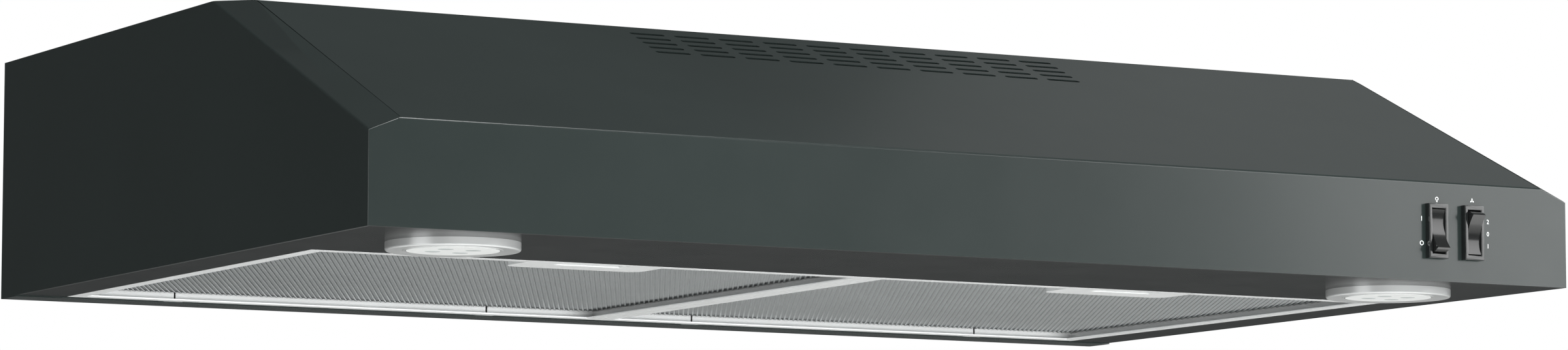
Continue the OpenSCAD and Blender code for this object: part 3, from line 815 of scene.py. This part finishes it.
def strand_tree() -> bpy.types.GeometryNodeTree:
    """Makes the tree that fills a rectangle with layers of slanted strands.

    Every second layer leans the other way, so that the layers form diamonds, and
    each strand ends on the rectangle's edge.

    Returns:
        The tree.
    """
    found = bpy.data.node_groups.get("expanded mesh")
    if found:
        return found
    floats = [
        "Width", "Depth", "Centre X", "Centre Y", "Bottom", "Pitch", "Strand Width",
        "Strand Thickness", "Angle", "Twist", "Rise", "Shift", "Shortest",
    ]
    tree = new_tree("expanded mesh", floats, ["Layers"])
    given = add_node(tree, "NodeGroupInput").outputs
    index = add_node(tree, "GeometryNodeInputIndex").outputs[0]
    value = {name: given[name] for name in (*floats, "Layers")} | {"index": index}
    steps = [
        # Strands in a layer, and the layer and place in it of each strand.
        ("sine", "SINE", "Angle", 0.0),
        ("cosine", "COSINE", "Angle", 0.0),
        ("reach x", "MULTIPLY", "Width", "cosine"),
        ("reach y", "MULTIPLY", "Depth", "sine"),
        ("reach", "ADD", "reach x", "reach y"),
        ("fit", "DIVIDE", "reach", "Pitch"),
        ("per layer", "CEIL", "fit", 0.0),
        ("total", "MULTIPLY", "per layer", "Layers"),
        ("counted", "ADD", "index", 0.5),
        ("turns", "DIVIDE", "counted", "per layer"),
        ("layer", "FLOOR", "turns", 0.0),
        ("before", "MULTIPLY", "layer", "per layer"),
        ("strand", "SUBTRACT", "index", "before"),
        # Every second layer leans the other way, and each pair of layers is set off a little.
        ("odd", "FLOORED_MODULO", "layer", 2.0),
        ("twice", "MULTIPLY", "odd", 2.0),
        ("lean", "SUBTRACT", 1.0, "twice"),
        ("half layer", "DIVIDE", "layer", 2.0),
        ("pair", "FLOOR", "half layer", 0.0),
        ("set off", "MULTIPLY", "pair", "Shift"),
        ("last", "SUBTRACT", "per layer", 1.0),
        ("middle", "MULTIPLY", "last", 0.5),
        ("from middle", "SUBTRACT", "strand", "middle"),
        ("count", "ADD", "from middle", "set off"),
        ("offset", "MULTIPLY", "count", "Pitch"),
        # Where the strand's line meets the rectangle's sides and ends.
        ("half width", "MULTIPLY", "Width", 0.5),
        ("half depth", "MULTIPLY", "Depth", 0.5),
        ("across", "MULTIPLY", "offset", "cosine"),
        ("along", "MULTIPLY", "offset", "sine"),
        ("to left", "SUBTRACT", "across", "half width"),
        ("to right", "ADD", "across", "half width"),
        ("to front", "SUBTRACT", "along", "half depth"),
        ("to back", "ADD", "along", "half depth"),
        ("side high", "DIVIDE", "to left", "sine"),
        ("side low", "DIVIDE", "to right", "sine"),
        ("end low", "DIVIDE", "to front", "cosine"),
        ("end high", "DIVIDE", "to back", "cosine"),
        ("side start", "MULTIPLY", "side low", -1.0),
        ("side stop", "MULTIPLY", "side high", -1.0),
        ("start", "MAXIMUM", "side start", "end low"),
        ("stop", "MINIMUM", "side stop", "end high"),
        ("length", "SUBTRACT", "stop", "start"),
        # The strand's middle and its turn.
        ("both", "ADD", "start", "stop"),
        ("centre", "MULTIPLY", "both", 0.5),
        ("centre x", "MULTIPLY", "centre", "sine"),
        ("centre y", "MULTIPLY", "centre", "cosine"),
        ("x", "ADD", "across", "centre x"),
        ("leaned x", "MULTIPLY", "x", "lean"),
        ("y", "SUBTRACT", "centre y", "along"),
        ("height", "MULTIPLY", "layer", "Rise"),
        ("place x", "ADD", "Centre X", "leaned x"),
        ("place y", "ADD", "Centre Y", "y"),
        ("place z", "ADD", "Bottom", "height"),
        ("leaned angle", "MULTIPLY", "Angle", "lean"),
        ("turn", "MULTIPLY", "leaned angle", -1.0),
    ]
    for name, operation, *terms in steps:
        inputs = {i: value.get(term, term) for i, term in enumerate(terms)}
        value[name] = add_node(tree, "ShaderNodeMath", inputs, operation=operation).outputs[0]
    place = add_node(tree, "ShaderNodeCombineXYZ", {
        0: value["place x"], 1: value["place y"], 2: value["place z"],
    })
    turn = add_node(tree, "ShaderNodeCombineXYZ", {2: value["turn"]})
    stretch = add_node(tree, "ShaderNodeCombineXYZ", {0: 1.0, 1: value["length"], 2: 1.0})
    keep = add_node(tree, "FunctionNodeCompare", {
        0: value["length"], 1: given["Shortest"],
    }, data_type="FLOAT", operation="GREATER_THAN")

    line = add_node(tree, "GeometryNodeMeshLine", {"Count": value["total"]})
    points = add_node(tree, "GeometryNodeSetPosition", {
        "Geometry": line.outputs[0], "Position": place.outputs[0],
    })
    section = add_node(tree, "ShaderNodeCombineXYZ", {
        0: given["Strand Width"], 1: 1.0, 2: given["Strand Thickness"],
    })
    bar = add_node(tree, "GeometryNodeMeshCube", {"Size": section.outputs[0]})
    tilt = add_node(tree, "ShaderNodeCombineXYZ", {1: given["Twist"]})
    tilt_turn = add_node(tree, "FunctionNodeEulerToRotation", {0: tilt.outputs[0]})
    twisted = add_node(tree, "GeometryNodeTransform", {
        "Geometry": bar.outputs[0], "Rotation": tilt_turn.outputs[0],
    })
    rotation = add_node(tree, "FunctionNodeEulerToRotation", {0: turn.outputs[0]})
    spread = add_node(tree, "GeometryNodeInstanceOnPoints", {
        "Points": points.outputs[0], "Selection": keep.outputs[0], "Instance": twisted.outputs[0],
        "Rotation": rotation.outputs[0], "Scale": stretch.outputs[0],
    })
    real = add_node(tree, "GeometryNodeRealizeInstances", {"Geometry": spread.outputs[0]})
    done = add_node(tree, "GeometryNodeSetMaterial", {
        "Geometry": real.outputs[0], "Material": given["Material"],
    })
    add_node(tree, "NodeGroupOutput", {0: done.outputs[0]})
    return tree


# ---- Lamps ----


@dataclass
class Lamp:
    """A round lamp: turned ring, opal lens with its four thin spots, board and clips."""

    side: Side
    spot_count: int = 4
    spot_turn: float = math.radians(45)
    spot_radius: float = 4.2 * MM
    spot_place: float = 11.4 * MM
    spot_depth: float = 0.12 * MM
    spot_sides: int = 24

    def build(self) -> list[bpy.types.Object]:
        """Builds the lamp's pieces.

        Returns:
            The finished pieces.
        """
        side = self.side.value
        node = f"lamp_ring_{side}"
        return [
            stand_in(f"ring_{side}", node, merged_copy(node), LAMP_METAL, "hood"),
            dress(f"lamp_lens_{side}", LENS_ACRYLIC),
            self.spots(),
            dress(f"lamp_board_{side}", BOARD_MASK),
            dress(f"lamp_clips_{side}", SPRING_STEEL),
        ]

    def spots(self) -> bpy.types.Object:
        """Builds the spots where the lens is thin over the board's chips.

        Returns:
            The spots, as one piece.
        """
        side = self.side.value
        low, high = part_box(f"lamp_lens_{side}")
        piece = grown(f"lens_spots_{side}", spot_tree(), {
            "Centre X": (low.x + high.x) / 2,
            "Centre Y": (low.y + high.y) / 2,
            "Face": low.z,
            "Place": self.spot_place,
            "Radius": self.spot_radius,
            "Depth": self.spot_depth,
            "Turn": self.spot_turn,
            "Count": self.spot_count,
            "Sides": self.spot_sides,
            "Material": SPOT_GREY.material(),
        })
        return placed(piece, "hood")


def spot_tree() -> bpy.types.GeometryNodeTree:
    """Makes the tree that sets shallow round spots on a circle.

    Returns:
        The tree.
    """
    found = bpy.data.node_groups.get("spots on a circle")
    if found:
        return found
    floats = ["Centre X", "Centre Y", "Face", "Place", "Radius", "Depth", "Turn"]
    tree = new_tree("spots on a circle", floats, ["Count", "Sides"])
    given = add_node(tree, "NodeGroupInput").outputs
    circle = add_node(tree, "GeometryNodeMeshCircle", {
        "Vertices": given["Count"], "Radius": given["Place"],
    })
    about = add_node(tree, "ShaderNodeCombineXYZ", {2: given["Turn"]})
    turn = add_node(tree, "FunctionNodeEulerToRotation", {0: about.outputs[0]})
    centre = add_node(tree, "ShaderNodeCombineXYZ", {
        0: given["Centre X"], 1: given["Centre Y"], 2: given["Face"],
    })
    points = add_node(tree, "GeometryNodeTransform", {
        "Geometry": circle.outputs[0], "Translation": centre.outputs[0], "Rotation": turn.outputs[0],
    })
    disc = add_node(tree, "GeometryNodeMeshCylinder", {
        "Vertices": given["Sides"], "Radius": given["Radius"], "Depth": given["Depth"],
    })
    spread = add_node(tree, "GeometryNodeInstanceOnPoints", {
        "Points": points.outputs[0], "Instance": disc.outputs[0],
    })
    real = add_node(tree, "GeometryNodeRealizeInstances", {"Geometry": spread.outputs[0]})
    done = add_node(tree, "GeometryNodeSetMaterial", {
        "Geometry": real.outputs[0], "Material": given["Material"],
    })
    add_node(tree, "NodeGroupOutput", {0: done.outputs[0]})
    return tree


# ---- Switches ----


@dataclass
class Switches:
    """The two rocker switches with their printed marks."""

    mark_height: float = 2.7 * MM
    mark_depth: float = 0.06 * MM
    stroke: float = 0.42 * MM
    row_step: float = 7 * MM
    symbol_rise: float = 3.1 * MM
    bulb_radius: float = 1.1 * MM
    bulb_shift: float = 1.4 * MM
    socket_drop: float = 1.6 * MM
    fan_shift: float = 1.1 * MM
    blades: int = 3
    leaf_place: float = 0.29
    leaf_reach: float = 0.24
    leaf_spread: float = 0.15
    left_gap: float = 2.8 * MM
    right_gap: float = 5.4 * MM
    numeral_share: float = 1.35
    smooth: float = 20.0

    def build(self) -> list[bpy.types.Object]:
        """Builds bezels, rockers, terminals and marks.

        Returns:
            The finished pieces.
        """
        pieces = [self.bezel(name) for name in ("light", "fan")]
        pieces += [self.rocker(name) for name in ("light", "fan")]
        pieces.append(dress("switch_terminals", TERMINAL_BRASS))
        pieces.append(self.marks())
        return pieces

    def bezel(self, name: str) -> bpy.types.Object:
        """Builds a bezel with moulded edges.

        Args:
            name: Which switch.

        Returns:
            The bezel.
        """
        node = f"{name}_switch_body"
        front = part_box(node)[0].y
        shape = merged_copy(node)
        round_edges(shape, Bend.MOULDED.value, lambda middle, run: middle.y < front + NEAR)
        return stand_in(f"{name}_bezel", node, shape, SWITCH_BLACK, "hood")

    def rocker(self, name: str) -> bpy.types.Object:
        """Builds a rocker.

        Args:
            name: Which switch.

        Returns:
            The rocker.
        """
        node = f"{name}_rocker"
        return stand_in(f"{name}_key", node, merged_copy(node), ROCKER_BLACK, node)

    def marks(self) -> bpy.types.Object:
        """Builds the printed symbols and numerals beside the switches.

        Returns:
            The marks, as one piece.
        """
        light_low, light_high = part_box("light_switch_body")
        fan_low, fan_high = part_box("fan_switch_body")
        light_x = (light_low.x + light_high.x) / 2
        fan_x = (fan_low.x + fan_high.x) / 2
        middle_z = (light_low.z + light_high.z) / 2
        above = light_high.z + self.symbol_rise
        shape = bmesh.new()
        bulb_x = light_x + self.bulb_shift
        self.add_ring(shape, bulb_x, above, self.bulb_radius)
        self.add_bar(shape, bulb_x, above - self.socket_drop, self.bulb_radius, self.stroke)
        for blade in range(self.blades):
            angle = math.pi / 2 + blade * math.tau / self.blades
            self.add_leaf(shape, fan_x + self.fan_shift, above, angle)
        left = light_low.x - self.left_gap
        self.add_bar(shape, left, middle_z + self.row_step, self.stroke, self.mark_height)
        self.add_ring(shape, left, middle_z - self.row_step, self.mark_height / 2)
        right = fan_high.x + self.right_gap
        for row, numeral in zip((1, 0, -1), "201"):
            self.add_numeral(shape, numeral, right, middle_z + row * self.row_step)
        piece = new_piece("switch_marks", shape, PRINT_WHITE, self.smooth)
        return placed(piece, "hood")

    def face_y(self) -> float:
        """Gives the place of the front panel's face."""
        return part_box("canopy_shell")[0].y

    def add_plate(self, shape: bmesh.types.BMesh, outline: Sequence[tuple[float, float]]) -> None:
        """Adds a thin plate on the panel.

        Args:
            shape: The mesh that gets it.
            outline: Its corners as (x, z), with the plate on the left of the line seen from the front.
        """
        back = self.face_y()
        rings = [[shape.verts.new((x, y, z)) for x, z in outline] for y in (back, back - self.mark_depth)]
        shape.faces.new(rings[1])
        shape.faces.new(list(reversed(rings[0])))
        count = len(outline)
        for i in range(count):
            j = (i + 1) % count
            shape.faces.new((rings[0][i], rings[0][j], rings[1][j], rings[1][i]))

    def add_bar(self, shape: bmesh.types.BMesh, x: float, z: float, width: float, height: float) -> None:
        """Adds a bar.

        Args:
            shape: The mesh that gets it.
            x: Its middle across.
            z: Its middle in height.
            width: Its size across.
            height: Its size in height.
        """
        w, h = width / 2, height / 2
        self.add_plate(shape, [(x - w, z - h), (x + w, z - h), (x + w, z + h), (x - w, z + h)])

    def add_ring(self, shape: bmesh.types.BMesh, x: float, z: float, radius: float, steps: int = 20) -> None:
        """Adds a ring.

        Args:
            shape: The mesh that gets it.
            x: Its middle across.
            z: Its middle in height.
            radius: Its outer radius.
            steps: The number of its straight parts.
        """
        inner = radius - self.stroke
        for i in range(steps):
            a, b = (math.tau * k / steps for k in (i, i + 1))
            self.add_plate(shape, [
                (x + inner * math.cos(a), z + inner * math.sin(a)),
                (x + radius * math.cos(a), z + radius * math.sin(a)),
                (x + radius * math.cos(b), z + radius * math.sin(b)),
                (x + inner * math.cos(b), z + inner * math.sin(b)),
            ])

    def add_leaf(self, shape: bmesh.types.BMesh, x: float, z: float, angle: float, steps: int = 12) -> None:
        """Adds one oval blade of the fan symbol.

        Args:
            shape: The mesh that gets it.
            x: The hub's place across.
            z: The hub's place in height.
            angle: The blade's direction from the hub.
            steps: The number of corners.
        """
        outline = []
        for i in range(steps):
            turn = math.tau * i / steps
            along = self.mark_height * (self.leaf_place + self.leaf_reach * math.cos(turn))
            across = self.mark_height * self.leaf_spread * math.sin(turn)
            outline.append((
                x + along * math.cos(angle) - across * math.sin(angle),
                z + along * math.sin(angle) + across * math.cos(angle),
            ))
        self.add_plate(shape, outline)

    def add_numeral(self, shape: bmesh.types.BMesh, numeral: str, x: float, z: float) -> None:
        """Adds a numeral as thin mesh.

        Args:
            shape: The mesh that gets it.
            numeral: The character.
            x: Its middle across.
            z: Its middle in height.
        """
        curve = bpy.data.curves.new("numeral", "FONT")
        curve.body = numeral
        curve.size = self.mark_height * self.numeral_share
        curve.align_x, curve.align_y = "CENTER", "CENTER"
        curve.extrude = self.mark_depth / 2
        curve.resolution_u = 3
        source = bpy.data.objects.new("numeral", curve)
        bpy.context.scene.collection.objects.link(source)
        graph = bpy.context.evaluated_depsgraph_get()
        mesh = bpy.data.meshes.new_from_object(source.evaluated_get(graph))
        place = Matrix.Translation((x, self.face_y() - self.mark_depth / 2, z))
        mesh.transform(place @ Matrix.Rotation(math.pi / 2, 4, "X"))
        shape.from_mesh(mesh)
        bpy.data.objects.remove(source)
        bpy.data.curves.remove(curve)
        bpy.data.meshes.remove(mesh)


# ---- Inside ----


@dataclass
class Blower:
    """The scroll blower with its motor, between the filters and the vents."""

    def build(self) -> list[bpy.types.Object]:
        """Dresses the blower's nodes.

        Returns:
            The finished pieces.
        """
        finishes = {
            "baffle_plate": ZINC_SHEET,
            "blower_housing": ZINC_SHEET,
            "blower_wheel": WHEEL_ALUMINIUM,
            "motor": MOTOR_STEEL,
            "motor_shaft": BRIGHT_STEEL,
            "wheel_nut": BRIGHT_STEEL,
            "motor_bracket": ZINC_SHEET,
            "blower_screws": BRIGHT_STEEL,
            "bracket_screws": BRIGHT_STEEL,
        }
        return [dress(node, finish) for node, finish in finishes.items()]


@dataclass
class Wiring:
    """The wiring box and the motor's capacitor."""

    def build(self) -> list[bpy.types.Object]:
        """Dresses the wiring's nodes.

        Returns:
            The finished pieces.
        """
        finishes = {
            "wiring_box": ZINC_SHEET,
            "wiring_box_cover": ZINC_SHEET,
            "box_cover_screws": BRIGHT_STEEL,
            "capacitor": CAPACITOR_CASE,
            "capacitor_strap": ZINC_SHEET,
        }
        return [dress(node, finish) for node, finish in finishes.items()]


# ---- Studio ----


@dataclass(frozen=True)
class SoftBox:
    """A rectangular soft light: where it hangs, its size, its brightness and whether gloss mirrors it."""

    name: str
    bearing: float
    height: float
    distance: float
    size: tuple[float, float]
    radiance: float
    mirrored: bool = True

    def hang(self, target: Vector) -> None:
        """Hangs the light around a point, facing it.

        Args:
            target: The point it faces, in metres.
        """
        turn, lift = math.radians(self.bearing), math.radians(self.height)
        way = Vector((math.sin(turn) * math.cos(lift), -math.cos(turn) * math.cos(lift), math.sin(lift)))
        light = bpy.data.lights.new(self.name, "AREA")
        light.shape = "RECTANGLE"
        light.size, light.size_y = self.size
        light.energy = self.radiance * math.pi * self.size[0] * self.size[1]
        lamp = bpy.data.objects.new(self.name, light)
        lamp.location = target + way * self.distance
        lamp.rotation_euler = (-way).to_track_quat("-Z", "Y").to_euler()
        lamp.visible_camera = False
        lamp.visible_glossy = self.mirrored
        bpy.context.scene.collection.objects.link(lamp)


@dataclass
class Studio:
    """Floor, light and camera. A bearing is counted from the front towards the right."""

    floor_z: float = -1.35
    floor_size: float = 9.0
    middle: tuple[float, float, float] = (0.0, -0.3, -0.08)
    room_light: float = 0.07
    room_colour: str = "#E4EAEA"
    camera_place: tuple[float, float, float] = (-1.5603, -3.0707, -0.4098)
    camera_yaw: float = math.radians(29.11)
    camera_pitch: float = math.radians(6.02)
    camera_roll: float = math.radians(0.06)
    lens_mm: float = 127.09
    sensor_mm: float = 36.0
    sight: float = 50.0
    boxes: tuple[SoftBox, ...] = (
        SoftBox("key", 67, 17, 4.0, (5.1, 2.6), 3.4),
        SoftBox("side", -80, -6, 3.6, (1.9, 2.2), 3.0),
        SoftBox("top", -8, 74, 3.2, (2.6, 1.8), 10.8),
        SoftBox("low front", 0, -11, 2.2, (2.6, 0.8), 11.4, mirrored=False),
        SoftBox("rear right", 124, 33, 4.2, (2.2, 1.8), 0.14),
        SoftBox("under", 0, -89, 1.2, (3.0, 2.6), 0.7),
    )

    def build(self) -> None:
        """Sets up the whole studio."""
        self.floor()
        self.world()
        self.camera()
        for box in self.boxes:
            box.hang(Vector(self.middle))

    def floor(self) -> None:
        """Lays a plain pale floor."""
        shape = bmesh.new()
        bmesh.ops.create_grid(shape, x_segments=2, y_segments=2, size=self.floor_size / 2)
        bmesh.ops.translate(shape, verts=shape.verts, vec=(0, 0, self.floor_z))
        new_piece("floor", shape, FLOOR_PAINT)

    def world(self) -> None:
        """Makes the room: white behind the hood, and dim as a source of light."""
        world = bpy.data.worlds.new("studio")
        bpy.context.scene.world = world
        world.use_nodes = True
        tree = world.node_tree
        tree.nodes.clear()
        white = add_node(tree, "ShaderNodeBackground", {"Color": (1, 1, 1, 1), "Strength": 1.0})
        room = add_node(tree, "ShaderNodeBackground", {
            "Color": linear(self.room_colour), "Strength": self.room_light,
        })
        path = add_node(tree, "ShaderNodeLightPath")
        both = add_node(tree, "ShaderNodeMixShader", {
            0: path.outputs["Is Camera Ray"], 1: room.outputs[0], 2: white.outputs[0],
        })
        add_node(tree, "ShaderNodeOutputWorld", {"Surface": both.outputs[0]})
        bpy.context.scene.view_settings.view_transform = "Standard"

    def camera(self) -> None:
        """Stands the camera below and to the left of the hood."""
        data = bpy.data.cameras.new("camera")
        data.lens = self.lens_mm
        data.sensor_width = self.sensor_mm
        data.clip_end = self.sight
        camera = bpy.data.objects.new("camera", data)
        yaw = Matrix.Rotation(-self.camera_yaw, 4, "Z")
        pitch = Matrix.Rotation(math.pi / 2 + self.camera_pitch, 4, "X")
        roll = Matrix.Rotation(self.camera_roll, 4, "Z")
        camera.matrix_world = Matrix.Translation(self.camera_place) @ yaw @ pitch @ roll
        bpy.context.scene.collection.objects.link(camera)
        bpy.context.scene.camera = camera


def main() -> None:
    """Builds the hood's sub-assemblies in order, then the studio."""
    logging.basicConfig(level=logging.INFO, format="%(name)s: %(message)s")
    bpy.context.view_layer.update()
    assemblies = [BodySheets()]
    assemblies += [MeshFilter(side) for side in Side]
    assemblies += [Lamp(side) for side in Side]
    assemblies += [Switches(), Blower(), Wiring()]
    for assembly in assemblies:
        for piece in assembly.build():
            LOG.info("%s: %s, %d faces", type(assembly).__name__, piece.name, len(piece.data.polygons))
    Studio().build()


if __name__ == "__main__":
    main()
